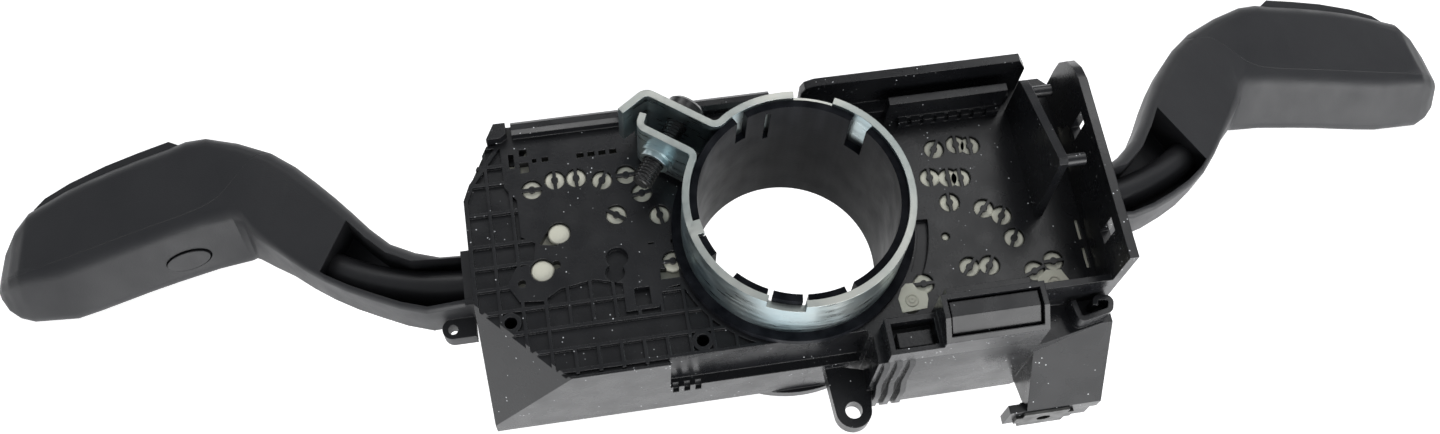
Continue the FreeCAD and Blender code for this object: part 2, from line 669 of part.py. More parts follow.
def detent_spring():
    """Coil of square wire through points on a helix."""
    half = 0.3
    coil = 1.75
    height = 6.0 - 2 * half
    turns = 4
    steps = 10
    rings = []
    for i in range(turns * steps + 1):
        angle = 2 * math.pi * i / steps
        out = V(math.cos(angle), math.sin(angle), 0)
        middle = out * coil + V(0, 0, height * i / (turns * steps))
        corners = [middle + out * (a * half) + V(0, 0, b * half)
                   for a, b in ((-1, -1), (1, -1), (1, 1), (-1, 1))]
        rings.append(Part.makePolygon(corners + corners[:1]))
    body = Part.makeLoft(rings, True, True)
    body.translate(V(plunger_x, pivot_y, -18 + half))
    return body


def contact_brush():
    base = box(51.5, 55.2, -2, 10, -7, -6.7)
    finger = [(55.2, -7), (55.2, -6.7), (52.6, -4.3), (51.4, -4.3), (51.4, -4.6),
              (52.4, -4.6), (55.0, -7)]
    fingers = [prism_y(finger, y, y + 2.6) for y in (-1.6, 2.7, 7)]
    return joined([base] + fingers)


# Stalk stations: upper edge, lower edge, height of the top face, share of paddle shape
root_stations = [
    ((73.5, 10.5), (73.5, -3.0), -12.5, 0.0),
    ((81, 11.5), (85, -3.0), -14.0, 0.0),
]
right_arm_stations = [
    ((92.4, 19.8), (97.5, 2.0), -17.5, 0.0),
    ((101.2, 32.4), (109, 9.4), -21.5, 0.0),
    ((109.8, 43.6), (119, 20.6), -26.0, 0.05),
    ((121.6, 54.2), (127.5, 30.6), -29.5, 0.3),
]
left_arm_stations = [
    ((92.8, 18.0), (97.5, 3.4), -17.5, 0.0),
    ((102.1, 29.6), (109, 11.2), -21.5, 0.0),
    ((110.8, 40.8), (119, 20.9), -26.0, 0.05),
    ((122.3, 52.4), (127.5, 30.2), -29.5, 0.3),
]
paddle_stations = [
    ((139.5, 62.2), (133, 37.8), -32.5, 1.0),
    ((150, 63.2), (150, 37.9), -35.8, 1.0),
    ((165, 62.8), (165, 37.6), -40.0, 1.0),
    ((178, 61.5), (178, 37.4), -43.7, 1.0),
]
right_end = ((190, 59.0), (191.5, 38.2), -47.3, 0.94)
left_end = ((188, 59.0), (189.5, 38.8), -46.8, 0.8)
tip_steps = ((0.82, 3.6), (0.55, 6.4), (0.2, 8.2))
left_droop = 0.095
droop_start = 125.0


def drooped(x, y, droop):
    """Place on a paddle that hangs lower towards its tip."""
    return x, y - droop * max(0.0, x - droop_start)


def side_stations(arm, end, droop):
    """Stations of one stalk, with one more placed between each neighbouring pair."""
    marks = root_stations + arm
    for upper, lower, height, share in paddle_stations + [end]:
        marks.append((drooped(*upper, droop), drooped(*lower, droop), height, share))
    result = [marks[0]]
    last = len(marks) - 1
    for i in range(last):
        if 0 < i < last - 1:
            result.append(between(marks[i - 1], marks[i], marks[i + 1], marks[i + 2]))
        result.append(marks[i + 1])
    return result


def between(before, first, second, after):
    """Half-way station on a smooth curve through four stations."""
    def middle(a, b, c, d):
        return (9 * (b + c) - a - d) / 16

    places = []
    for edge in (0, 1):
        places.append(tuple(middle(before[edge][k], first[edge][k], second[edge][k],
                                   after[edge][k]) for k in (0, 1)))
    share = (first[3] + second[3]) / 2
    return places[0], places[1], middle(before[2], first[2], second[2], after[2]), share


def section_corners(station):
    """Corners (across, up, radius) of the rounded five-sided section."""
    upper, lower, height, share = station
    width = math.hypot(upper[0] - lower[0], upper[1] - lower[1])
    return [
        (width, -share, 4.2 + 0.4 * share),
        (0.0, 0.0, 1.5 + 3.5 * share),
        (-10.3 * share, -15 + 0.8 * share, 2.5 + 0.5 * share),
        (width / 2 + (5 - width / 2) * share, -15.5 - 2.5 * share, 2.5 + 5 * share),
        (width, -15 + 5 * share, 4.2),
    ]


def moved_in(corners, distance):
    """The section with every side moved inward."""
    result = []
    count = len(corners)
    for i in range(count):
        a, b, radius = corners[i]
        sides = []
        for p, q in ((corners[i - 1], corners[i]), (corners[i], corners[(i + 1) % count])):
            length = math.hypot(q[0] - p[0], q[1] - p[1])
            sides.append((-(q[1] - p[1]) / length, (q[0] - p[0]) / length))
        (n1, m1), (n2, m2) = sides
        scale = distance / (1 + n1 * n2 + m1 * m2)
        result.append((a + (n1 + n2) * scale, b + (m1 + m2) * scale,
                       max(0.6, radius - distance)))
    return result


def section_wire(station, inset=0.0, scale=1.0, shift=0.0):
    upper, lower, height, share = station
    across = V(upper[0] - lower[0], upper[1] - lower[1], 0).normalize()
    start = V(lower[0], lower[1], height) + V(shift, 0, -0.29 * shift)
    corners = section_corners(station)
    if inset > 0:
        corners = moved_in(corners, inset)
    middle_a = 1.5
    middle_b = -8.0
    placed = []
    for a, b, radius in corners:
        a = middle_a + (a - middle_a) * scale
        b = middle_b + (b - middle_b) * scale
        placed.append((start + across * a + V(0, 0, b), radius * scale))
    return rounded_wire(placed)


def stalk_body(stations):
    wires = [section_wire(station) for station in stations]
    wires += [section_wire(stations[-1], scale=s, shift=x) for s, x in tip_steps]
    return Part.makeLoft(wires, True, True)


def stalk_hollow(stations):
    wires = [section_wire(station, shell_wall) for station in stations[9:]]
    wires += [section_wire(stations[-1], shell_wall, 0.8, 2.4)]
    return Part.makeLoft(wires, True, True)


def above_seam(droop):
    """Leaning block on the shell's side of the seam."""
    level = 10.0
    seam = [(204, 40.0, -51), (185, 40.3, -45.7), (165, 40.7, -40), (152, 40.9, -36.3),
            (141.6, 41.5, -34), (137, 42.6, -33), (132.4, 45.9, -31.8), (128.8, 49.2, -30.8),
            (126, 50.8, -30.2), (122.5, 50.9, -29.4), (118.5, 50.2, -28.5), (114, 50.6, -27)]
    points = []
    for x, y, height in seam:
        x, y = drooped(x, y, droop)
        points.append(V(x, y + seam_lean * (height - level), level))
    curve = Part.BSplineCurve()
    curve.interpolate(points)
    first = points[0]
    last = points[-1]
    corners = [last, V(last.x, 90, level), V(206, 90, level), V(206, first.y, level), first]
    edges = [curve.toShape()]
    edges += [Part.LineSegment(p, q).toShape() for p, q in zip(corners, corners[1:])]
    face = Part.Face(Part.Wire(edges))
    return face.extrude(V(0, seam_lean, -1) * 90)


def recess(stations):
    """Open channel along the arm for the wiring conduit."""
    wires = []
    for number, station in enumerate(stations[:8]):
        upper, lower, height, share = station
        across = V(upper[0] - lower[0], upper[1] - lower[1], 0)
        width = across.Length
        across.normalize()
        start = V(lower[0], lower[1], height)
        side = recess_wall
        far = width - (recess_shoulder if number > 1 else recess_wall)
        corners = [start + across * a + V(0, 0, b)
                   for a, b in ((side, 3), (side, -recess_depth), (far, -recess_depth),
                                (far, 3))]
        wires.append(Part.makePolygon(corners + [corners[0]]))
    channel = Part.makeLoft(wires, True, True)
    end = prism([(102.1, 27.5), (112.2, 10.2), (130, 2), (130, 50), (92, 50)], -60, 0)
    return channel.cut(end)


def conduit():
    """Round tube through points along the arm."""
    points = [V(111.5, 20.5, -31.4), V(103, 13.8, -27.4), V(92, 8.4, -24), V(80, 4.9, -20.8),
              V(71, 3.9, -19.3)]
    curve = Part.BSplineCurve()
    curve.interpolate(points)
    first = curve.FirstParameter
    last = curve.LastParameter
    sides = 16
    rings = []
    for i in range(11):
        at = first + (last - first) * i / 10
        ahead = curve.tangent(at)[0]
        across = ahead.cross(V(0, 0, 1)).normalize()
        up = across.cross(ahead)
        corners = []
        for k in range(sides):
            angle = 2 * math.pi * k / sides
            corners.append(curve.value(at) + across * (conduit_radius * math.cos(angle))
                           + up * (conduit_radius * math.sin(angle)))
        rings.append(Part.makePolygon(corners + corners[:1]))
    return Part.makeLoft(rings, True, True)


rocker_x = 167.0
rocker_y = 57.7
rocker_top = -43.6
rocker_low = -49.4


def rocker_slope(x):
    """Height of the rocker strip at a place along the stalk."""
    return -0.285 * (x - rocker_x)


def rocker_outline(grow, proud, deep=0.0):
    outer = [(146.5 - grow, 62.4), (149.5, 63.1 + proud), (158, 63.0 + proud),
             (167, 62.6 + proud), (177, 61.6 + proud * 0.8), (184, 60.2 + proud * 0.5),
             (187 + grow, 58.8)]
    inner = [(187 + grow, 56.8 - deep), (177, 58.6 - deep), (167, 59.6 - deep),
             (158, 60.0 - deep), (146.5 - grow, 60.2 - deep)]
    return outer + inner


def sloped_prism(outline, low, high, droop):
    """Prism whose lower and upper faces follow the slope of the stalk."""
    bottom = []
    for x, y in outline:
        x, y = drooped(x, y, droop)
        bottom.append(V(x, y, low + rocker_slope(x)))
    return extrude(bottom, V(0, 0, high - low))


def rocker(droop):
    bar = sloped_prism(rocker_outline(0.0, rocker_proud), rocker_low, rocker_top, droop)
    x, y = drooped(rocker_x, rocker_y, droop)
    low = rocker_low + 0.8
    high = rocker_top - 0.8
    knuckle = joined([cylinder(x, y, low, high, 2.3),
                      box(x - 2.3, x + 2.3, y, y + 3.2, low, high)])
    body = joined([bar, knuckle])
    return body.cut(cylinder(x, y, -60, 0, rocker_pin_radius + running_gap))


def rocker_pin(droop):
    x, y = drooped(rocker_x, rocker_y, droop)
    return cylinder(x, y, -52.0, -42.0, rocker_pin_radius)


def paddle_shell(body, side, stations, droop):
    shell = body.common(side)
    x, y = drooped(rocker_x, rocker_y, droop)
    low = rocker_low - side_gap
    high = rocker_top + side_gap
    post = cylinder(x, y, -60, -30, 2.8).common(shell)
    gap = box(x - 9, x + 9, y - 9, y + 9, low, high)
    shell = shell.cut(stalk_hollow(stations))
    shell = shell.fuse(post.cut(gap)).removeSplitter()
    slot = sloped_prism(rocker_outline(0.7, 9.0, 1.8), low, high, droop)
    swing_room = cylinder(x, y, low, high, 2.8)
    pin_hole = cylinder(x, y, -52.0, -42.0, rocker_pin_radius)
    shell = shell.cut([slot, swing_room, pin_hole])
    return max(shell.Solids, key=lambda piece: piece.Volume)


def stalk_arm(body, side, tube_shape, stations):
    arm = body.cut(side)
    tail = joined([Part.makeCylinder(6, tail_high - tail_low, V(lever_x, tail_low, lever_z),
                                     V(0, 1, 0)),
                   box(lever_x, 76, tail_low, tail_high, -25, -13)])
    arm = arm.cut(recess(stations))
    arm = arm.fuse(tail)
    bore = Part.makeCylinder(lever_pin_radius + running_gap, 30, V(lever_x, -10, lever_z),
                             V(0, 1, 0))
    return arm.cut([bore, tube_shape]).removeSplitter()


# Thumb button of the left-hand stalk, described for the right and then mirrored
button_centre = V(146, 30.1, -42.7)
button_normal = V(0, -0.810, 0.587)
button_along = V(1, 0, -0.27)


def button_column(half_length, half_width, start, end):
    """Oval column along the button's axis."""
    across = button_normal.cross(button_along).normalize()
    along = across.cross(button_normal).normalize()
    base = button_centre + button_normal * start
    curve = Part.Ellipse(base + along * half_length, base + across * half_width, base)
    face = Part.Face(Part.Wire(curve.toShape()))
    return face.extrude(button_normal * (end - start))


def main():
    os.makedirs("parts", exist_ok=True)
    save("left_housing", left_housing())
    save("right_housing", right_housing())
    save("right_bay_walls", right_bay_walls())
    save("front_cover", front_cover())
    save("column_hub", column_hub())
    save("clamp_band", clamp_band())
    save("clamp_screw", clamp_screw())
    save("clamp_washer", clamp_washer())
    save("clamp_nut", clamp_nut())
    save("circuit_board", circuit_board())
    save("board_rivets", board_rivets())
    save("brace_panel", brace_panel())
    save("connector_header", connector_header())
    save("connector_pins", connector_pins())
    save("leg_clip", leg_clip())
    save("cover_screws", cover_screws())

    cradle_shape = cradle()
    inside = {
        "detent_cam": detent_cam(),
        "cradle": cradle_shape,
        "swing_pin": swing_pin(),
        "lever_pin": lever_pin(),
        "detent_plunger": detent_plunger(),
        "detent_spring": detent_spring(),
        "contact_brush": contact_brush(),
        "conduit": conduit(),
    }
    for name, shape in inside.items():
        save("right_" + name, shape)
        save("left_" + name, mirrored(shape))

    stations = side_stations(right_arm_stations, right_end, 0.0)
    body = stalk_body(stations)
    side = above_seam(0.0)
    save("right_stalk_arm", stalk_arm(body, side, inside["conduit"], stations))
    save("right_paddle_shell", paddle_shell(body, side, stations, 0.0))
    save("right_rocker", rocker(0.0))
    save("right_rocker_pin", rocker_pin(0.0))

    stations = side_stations(left_arm_stations, left_end, left_droop)
    body = stalk_body(stations)
    side = above_seam(left_droop)
    arm = stalk_arm(body, side, inside["conduit"], stations)
    lug = joined([cylinder(80.0, -5.4, -25.5, -21.0, 2.5),
                  box(74.7, 80.0, -7.9, -2.7, -25.5, -21.0)])
    lug = lug.cut(cylinder(80.0, -5.6, -30, -10, 1.2))
    arm = arm.cut(button_column(6.0, 2.75, -5.0, 6.0)).fuse(lug).removeSplitter()
    save("left_stalk_arm", mirrored(arm))
    save("left_paddle_shell", mirrored(paddle_shell(body, side, stations, left_droop)))
    save("left_rocker", mirrored(rocker(left_droop)))
    save("left_rocker_pin", mirrored(rocker_pin(left_droop)))
    save("left_button", mirrored(button_column(5.65, 2.4, -3.2, 0.3)))


main()
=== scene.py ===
"""Looks for the combination stalk switch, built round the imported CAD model.

Lengths are metres.  Places on the board are written in millimetres and multiplied by mm.
"""
import bpy
import bmesh
import json
import math
from mathutils import Matrix, Vector

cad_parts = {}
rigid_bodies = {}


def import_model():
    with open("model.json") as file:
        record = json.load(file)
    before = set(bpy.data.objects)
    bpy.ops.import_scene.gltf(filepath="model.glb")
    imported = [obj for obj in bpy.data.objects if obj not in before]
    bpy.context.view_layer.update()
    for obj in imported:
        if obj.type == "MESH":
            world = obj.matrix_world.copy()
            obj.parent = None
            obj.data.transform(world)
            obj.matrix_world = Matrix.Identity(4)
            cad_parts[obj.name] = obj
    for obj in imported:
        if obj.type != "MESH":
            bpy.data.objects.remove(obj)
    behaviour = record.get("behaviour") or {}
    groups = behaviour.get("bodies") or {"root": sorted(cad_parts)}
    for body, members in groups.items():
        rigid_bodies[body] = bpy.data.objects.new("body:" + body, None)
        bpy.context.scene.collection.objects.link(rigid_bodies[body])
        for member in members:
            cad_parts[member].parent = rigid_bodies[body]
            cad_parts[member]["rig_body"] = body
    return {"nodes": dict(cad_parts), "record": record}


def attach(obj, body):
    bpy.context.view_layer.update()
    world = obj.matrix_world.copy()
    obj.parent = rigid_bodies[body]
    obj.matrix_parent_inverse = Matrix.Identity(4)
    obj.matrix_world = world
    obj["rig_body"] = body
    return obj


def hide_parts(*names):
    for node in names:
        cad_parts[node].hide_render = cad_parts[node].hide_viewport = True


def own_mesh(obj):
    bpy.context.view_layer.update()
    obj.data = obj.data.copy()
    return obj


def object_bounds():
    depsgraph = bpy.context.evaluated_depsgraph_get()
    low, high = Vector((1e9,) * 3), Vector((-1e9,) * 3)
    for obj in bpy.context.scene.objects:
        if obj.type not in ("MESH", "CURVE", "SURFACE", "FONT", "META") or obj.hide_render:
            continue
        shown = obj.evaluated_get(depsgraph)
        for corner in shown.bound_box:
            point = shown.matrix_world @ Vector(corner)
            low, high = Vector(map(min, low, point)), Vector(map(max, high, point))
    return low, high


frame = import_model()
cad_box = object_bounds()
bpy.ops.object.select_all(action="DESELECT")
nodes = frame["nodes"]
slots = {part["node"]: part["material_slot"] for part in frame["record"]["subparts"]}
scene = bpy.context.scene
mm = 0.001


# Camera, fitted to the bore circle and the plate in the photograph
camera_place = (-0.04836, -0.12162, 0.30279)
camera_right = Vector((0.98662, -0.15817, 0.03941))
camera_down = Vector((-0.13006, -0.90961, -0.39459))
camera_ahead = Vector((0.09826, 0.38419, -0.91801))
sensor_width = 36.0
focal_length = 36.25


def photo_camera():
    """Camera at the photograph's place, angle and focal length."""
    lens = bpy.data.cameras.new("photo_camera")
    lens.sensor_width = sensor_width
    lens.lens = focal_length
    lens.clip_start = 0.01
    lens.clip_end = 20.0
    camera = bpy.data.objects.new("photo_camera", lens)
    scene.collection.objects.link(camera)
    turn = Matrix((camera_right, -camera_down, -camera_ahead)).transposed()
    camera.rotation_mode = "QUATERNION"
    camera.rotation_quaternion = turn.to_quaternion()
    camera.location = camera_place
    scene.camera = camera


photo_camera()


# Texture scales, in features for each metre
cloud_scale = 60.0
gloss_scale = 140.0
dust_scale = 760.0
dust_patch_scale = 70.0
dust_choice_scale = 333.0
zinc_tint_scale = 45.0
zinc_pit_scale = 700.0

dust_colour = (0.72, 0.74, 0.76)
fine_grain = 1400.0
stalk_grain = 2600.0

looks = {}


def new_material(name):
    """Material with its shader and the object coordinates that its textures use."""
    material = bpy.data.materials.new(name)
    material.use_nodes = True
    looks[name] = material
    tree = material.node_tree
    shader = next(n for n in tree.nodes if n.type == "BSDF_PRINCIPLED")
    place = tree.nodes.new("ShaderNodeTexCoord")
    return tree, shader, place.outputs["Object"]


def noise(tree, where, scale, detail=3.0, stretch=None):
    """Noise texture, stretched along an axis where stretch is given."""
    if stretch is not None:
        mapping = tree.nodes.new("ShaderNodeMapping")
        mapping.inputs["Scale"].default_value = stretch
        tree.links.new(where, mapping.inputs["Vector"])
        where = mapping.outputs["Vector"]
    texture = tree.nodes.new("ShaderNodeTexNoise")
    texture.inputs["Scale"].default_value = scale
    texture.inputs["Detail"].default_value = detail
    tree.links.new(where, texture.inputs["Vector"])
    return texture.outputs["Fac"]


def ramp(tree, value, stops):
    """Colour ramp from (position, colour) stops."""
    node = tree.nodes.new("ShaderNodeValToRGB")
    elements = node.color_ramp.elements
    while len(elements) < len(stops):
        elements.new(0.5)
    for element, (position, colour) in zip(elements, stops):
        element.position = position
        element.color = (*colour, 1.0)
    tree.links.new(value, node.inputs["Fac"])
    return node.outputs["Color"]


def spread(tree, value, low, high, start=0.3, end=0.7):
    """Maps the range start to end of a value to the range low to high."""
    node = tree.nodes.new("ShaderNodeMapRange")
    node.inputs["From Min"].default_value = start
    node.inputs["From Max"].default_value = end
    node.inputs["To Min"].default_value = low
    node.inputs["To Max"].default_value = high
    tree.links.new(value, node.inputs["Value"])
    return node.outputs["Result"]


def combined(tree, operation, first, second):
    """Sum or product of two values."""
    node = tree.nodes.new("ShaderNodeMath")
    node.operation = operation
    tree.links.new(first, node.inputs[0])
    tree.links.new(second, node.inputs[1])
    return node.outputs[0]


def mixed(tree, factor, first, second):
    """First colour, with the fixed second colour laid over it by a factor."""
    node = tree.nodes.new("ShaderNodeMix")
    node.data_type = "RGBA"
    tree.links.new(factor, node.inputs["Factor"])
    tree.links.new(first, node.inputs["A"])
    node.inputs["B"].default_value = (*second, 1.0)
    return node.outputs["Result"]


def surface_relief(tree, shader, heights, edge):
    """Bumps of several (height, depth in metres) textures over rounded edges."""
    rounding = tree.nodes.new("ShaderNodeBevel")
    rounding.samples = 4
    rounding.inputs["Radius"].default_value = edge
    normal = rounding.outputs["Normal"]
    for height, depth in heights:
        bump = tree.nodes.new("ShaderNodeBump")
        bump.inputs["Distance"].default_value = depth
        bump.inputs["Strength"].default_value = 1.0
        tree.links.new(height, bump.inputs["Height"])
        tree.links.new(normal, bump.inputs["Normal"])
        normal = bump.outputs["Normal"]
    tree.links.new(normal, shader.inputs["Normal"])


def dust_cover(tree, where):
    """Small round specks, in patches and with most of them left out."""
    cells = tree.nodes.new("ShaderNodeTexVoronoi")
    cells.inputs["Scale"].default_value = dust_scale
    tree.links.new(where, cells.inputs["Vector"])
    specks = spread(tree, cells.outputs["Distance"], 1.0, 0.0, 0.10, 0.13)
    patches = spread(tree, noise(tree, where, dust_patch_scale, 2.0), 0.0, 1.0, 0.46, 0.54)
    chosen = spread(tree, noise(tree, where, dust_choice_scale, 0.0), 0.0, 1.0, 0.55, 0.60)
    return combined(tree, "MULTIPLY", combined(tree, "MULTIPLY", specks, patches), chosen)


def moulded(name, dark, light, rough, grain=fine_grain, depth=0.02 * mm, edge=0.3 * mm,
            dusty=False, shine=0.5, flow=None):
    """Moulded plastic: slight mottling, fine grain, softened edges and, where asked, dust."""
    tree, shader, where = new_material(name)
    shader.inputs["Specular IOR Level"].default_value = shine
    cloud = noise(tree, where, cloud_scale, stretch=flow)
    colour = ramp(tree, cloud, [(0.3, dark), (0.7, light)])
    if dusty:
        colour = mixed(tree, dust_cover(tree, where), colour, dust_colour)
    tree.links.new(colour, shader.inputs["Base Color"])
    gloss = noise(tree, where, gloss_scale)
    tree.links.new(spread(tree, gloss, rough - 0.06, rough + 0.06), shader.inputs["Roughness"])
    surface_relief(tree, shader, [(noise(tree, where, grain, 2.0), depth)], edge)


def rolled(name, colours, rough, stretch):
    """Sheet metal with rolling streaks, fine pits and patches of slightly different tint."""
    tree, shader, where = new_material(name)
    shader.inputs["Metallic"].default_value = 1.0
    tint = noise(tree, where, zinc_tint_scale, 4.0)
    colour = ramp(tree, tint, list(zip((0.30, 0.52, 0.72), colours)))
    tree.links.new(colour, shader.inputs["Base Color"])
    streaks = noise(tree, where, 1.0, 4.0, stretch)
    tree.links.new(spread(tree, streaks, rough - 0.08, rough + 0.12), shader.inputs["Roughness"])
    pits = noise(tree, where, zinc_pit_scale, 3.0)
    surface_relief(tree, shader, [(streaks, 0.01 * mm), (pits, 0.01 * mm)], 0.25 * mm)


# Black mouldings
moulded("housing_plastic", (0.0045, 0.0048, 0.0058), (0.0080, 0.0084, 0.0098), 0.28, dusty=True)
moulded("hub_plastic", (0.003, 0.0035, 0.005), (0.014, 0.015, 0.018), 0.38, shine=0.03,
        flow=(4.0, 4.0, 0.5))
moulded("stalk_plastic", (0.013, 0.0135, 0.0155), (0.018, 0.0185, 0.0205), 0.50,
        grain=stalk_grain, depth=0.03 * mm)
moulded("shell_plastic", (0.012, 0.0125, 0.0145), (0.016, 0.0165, 0.0185), 0.48,
        grain=stalk_grain, depth=0.03 * mm)
moulded("conduit_rubber", (0.012, 0.012, 0.013), (0.020, 0.020, 0.022), 0.38)

# Pale mouldings and the board
moulded("carrier_board", (0.68, 0.67, 0.55), (0.76, 0.75, 0.63), 0.45)
moulded("rivet_plastic", (0.58, 0.56, 0.46), (0.68, 0.66, 0.55), 0.40)
moulded("natural_plastic", (0.60, 0.59, 0.54), (0.70, 0.69, 0.64), 0.42)

# Metals
rolled("zinc_steel", [(0.38, 0.52, 0.57), (0.52, 0.61, 0.62), (0.66, 0.69, 0.66)],
       0.33, (160.0, 160.0, 900.0))
rolled("cut_edge", [(0.30, 0.34, 0.33), (0.45, 0.47, 0.44), (0.62, 0.62, 0.57)],
       0.36, (900.0, 900.0, 300.0))
rolled("spring_steel", [(0.05, 0.05, 0.05), (0.08, 0.08, 0.078), (0.13, 0.13, 0.125)],
       0.34, (300.0, 300.0, 300.0))
rolled("tinned_brass", [(0.52, 0.42, 0.20), (0.62, 0.52, 0.27), (0.70, 0.60, 0.34)],
       0.30, (300.0, 300.0, 300.0))
moulded("black_steel", (0.012, 0.012, 0.012), (0.026, 0.026, 0.026), 0.27, grain=900.0,
        edge=0.2 * mm)


# Clamp screw: a point on its axis, the way it points, and its M5 thread
screw_middle = Vector((-0.0228, 0.025, 0.0102))
screw_ahead = Vector((-0.6, -0.8, 0.0))
thread_radius = 2.5 * mm
thread_start = -2.0 * mm
thread_end = 17.24 * mm
thread_pitch = 0.8 * mm
thread_depth = 0.48 * mm
thread_tip = 0.6 * mm
thread_sides = 40
rings_per_turn = 8
flank_slope = 3.2
root_width = 1.6
shank_margin = 0.01 * mm


def on_shank(point):
    """Whether a point belongs to the plain shank of the clamp screw."""
    offset = point - screw_middle
    along = offset.dot(screw_ahead)
    outward = (offset - screw_ahead * along).length
    return along > thread_start - shank_margin and outward < thread_radius + shank_margin


def thread_surface(along, share):
    """Radius of the thread at a distance along it and a share of a turn round it."""
    phase = (along / thread_pitch - share) % 1.0
    cut = min(1.0, max(0.0, root_width - flank_slope * abs(phase - 0.5)))
    crest = min(thread_radius, thread_radius - thread_tip + thread_end - along)
    return crest - thread_depth * cut


def cut_thread(work):
    """Swaps the plain shank of the screw for a threaded one."""
    shank = [face for face in work.faces if all(on_shank(v.co) for v in face.verts)]
    bmesh.ops.delete(work, geom=shank, context="FACES")
    up = Vector((0, 0, 1))
    side = screw_ahead.cross(up)
    count = rings_per_turn * round((thread_end - thread_start) / thread_pitch)
    before = None
    for j in range(count + 1):
        along = thread_start + (thread_end - thread_start) * j / count
        ring = []
        for k in range(thread_sides):
            angle = 2 * math.pi * k / thread_sides
            outward = up * math.cos(angle) + side * math.sin(angle)
            place = screw_middle + screw_ahead * along
            place += outward * thread_surface(along, k / thread_sides)
            ring.append(work.verts.new(place))
        if before is not None:
            for k in range(thread_sides):
                after = (k + 1) % thread_sides
                work.faces.new((before[k], before[after], ring[after], ring[k]))
        before = ring
    work.faces.new(before)
    bmesh.ops.recalc_face_normals(work, faces=work.faces)


# Carried-over pieces: the sharpest turn that is still shaded round, in degrees
flat_faced_turn = 28
stalk_turn = 35
weld_distance = 0.002 * mm
edge_facing = 0.9


def pale_cut_edges(mesh):
    """Gives the sheared edges of the clamp band their brighter finish."""
    mesh.materials.append(looks["cut_edge"])
    for face in mesh.polygons:
        face.material_index = int(abs(face.normal.z) > edge_facing)


def smooth_copy(name, turn):
    """Copy of a CAD node with its triangles joined and its curved faces smooth."""
    source = nodes[name]
    mesh = source.data.copy()
    copy = bpy.data.objects.new(name + "_skin", mesh)
    scene.collection.objects.link(copy)
    work = bmesh.new()
    work.from_mesh(mesh)
    bmesh.ops.remove_doubles(work, verts=work.verts, dist=weld_distance)
    if name == "clamp_screw":
        cut_thread(work)
    work.to_mesh(mesh)
    work.free()
    if "custom_normal" in mesh.attributes:
        mesh.attributes.remove(mesh.attributes["custom_normal"])
    mesh.materials.clear()
    mesh.materials.append(looks[slots[name]])
    if name == "clamp_band":
        pale_cut_edges(mesh)
    bpy.context.view_layer.objects.active = copy
    copy.select_set(True)
    bpy.ops.object.shade_smooth_by_angle(angle=math.radians(turn))
    copy.select_set(False)
    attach(copy, source["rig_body"])
    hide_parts(name)


for name in nodes:
    smooth_copy(name, stalk_turn if "stalk" in name or "shell" in name else flat_faced_turn)

# Detent springs, which the plungers shorten against their seats: each gets a mesh of its own
for joint in frame["record"]["behaviour"]["joints"]:
    for spring in joint.get("deforming_nodes", []):
        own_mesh(bpy.data.objects[spring["node"] + "_skin"])


# Raised pads of the carrier board, seen through the holes of the plate
key_pads = [(-57.4, 17.9), (-52, 19.6), (-47.1, 19.5), (-41.3, 18.1), (-35.7, 18.7), (-32.7, 13.7),
            (-39.2, 9.1), (-29.4, 7.7), (-28.1, -3.9), (36.3, 15.1), (41.7, 15.6), (44.9, 14.9),
            (33.8, 8.1), (38.1, 7.5), (40.9, 7.1), (37, 1.3), (44.5, -1.3), (48.2, -3.6),
            (49.8, -9.4), (38, -14.9), (42.6, -15.2), (26.8, -17.4), (52.5, -18), (57.3, -16.2)]
key_pad_radius = 2.36
other_pads = [(-52.5, 6.4, 2.55), (-57.2, -2, 2.65), (34.2, -6.9, 0.95)]
pad_foot = -2.5
pad_level = -0.7
pad_chamfer = 0.3
round_sides = 28

# Painted light: pale blocks beside the bay's end wall, standing in for the light that shows
# through slits there
light_slit_left = 64.45
light_slit_right = 65.25
light_slit_starts = (12, 5, -12, -19)
light_slit_length = 5

# Riveted tabs: outline and the middle of the rivet
tabs = [
    ([(21.4, -18.0), (22.6, -16.9), (24.3, -17.0), (25.2, -18.8), (27.0, -19.7), (27.0, -21.2),
      (26.3, -23.3), (20.6, -23.6), (20.3, -20.2)], (23.3, -21.0)),
    ([(52.4, -20.2), (55.0, -18.2), (58.4, -18.6), (59.6, -21.2), (58.6, -23.6), (53.6, -23.4)],
     (56.2, -21.4)),
]
tab_foot = -0.2
tab_level = 0.15

# Rivet heads: radius and level, from the foot up
stake_profile = [(1.6, 0.1), (1.5, 0.35), (1.2, 0.35), (1.1, 0.22), (0.75, 0.22), (0.65, 0.35),
                 (0.3, 0.35), (0.2, 0.25)]

# Dark floor of the small window in the rib lattice: its left, right, low and high edges
window = (-38.3, -33.5, -13.7, -8.9)
window_level = -1.9


def stack(work, rings):
    """Joins rings of corners from the foot up and closes the last one."""
    rings = [[work.verts.new((x * mm, y * mm, z * mm)) for x, y, z in ring] for ring in rings]
    count = len(rings[0])
    for below, above in zip(rings, rings[1:]):
        for k in range(count):
            after = (k + 1) % count
            work.faces.new((below[k], below[after], above[after], above[k]))
    work.faces.new(rings[-1])


def circle(x, y, level, radius):
    """Ring of corners round a point."""
    turns = [2 * math.pi * k / round_sides for k in range(round_sides)]
    return [(x + radius * math.cos(turn), y + radius * math.sin(turn), level) for turn in turns]


def at_levels(outline, *levels):
    """The same outline at each of the levels."""
    return [[(x, y, level) for x, y in outline] for level in levels]


def rectangle(left, right, low, high):
    """Outline of an upright block."""
    return [(left, low), (right, low), (right, high), (left, high)]


def finished(name, work, node, slot):
    """Turns a mesh into a piece that rides with a node's body and has a slot's finish."""
    bmesh.ops.recalc_face_normals(work, faces=work.faces)
    mesh = bpy.data.meshes.new(name)
    work.to_mesh(mesh)
    work.free()
    piece = bpy.data.objects.new(name, mesh)
    scene.collection.objects.link(piece)
    mesh.materials.append(looks[slot])
    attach(piece, nodes[node]["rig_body"])


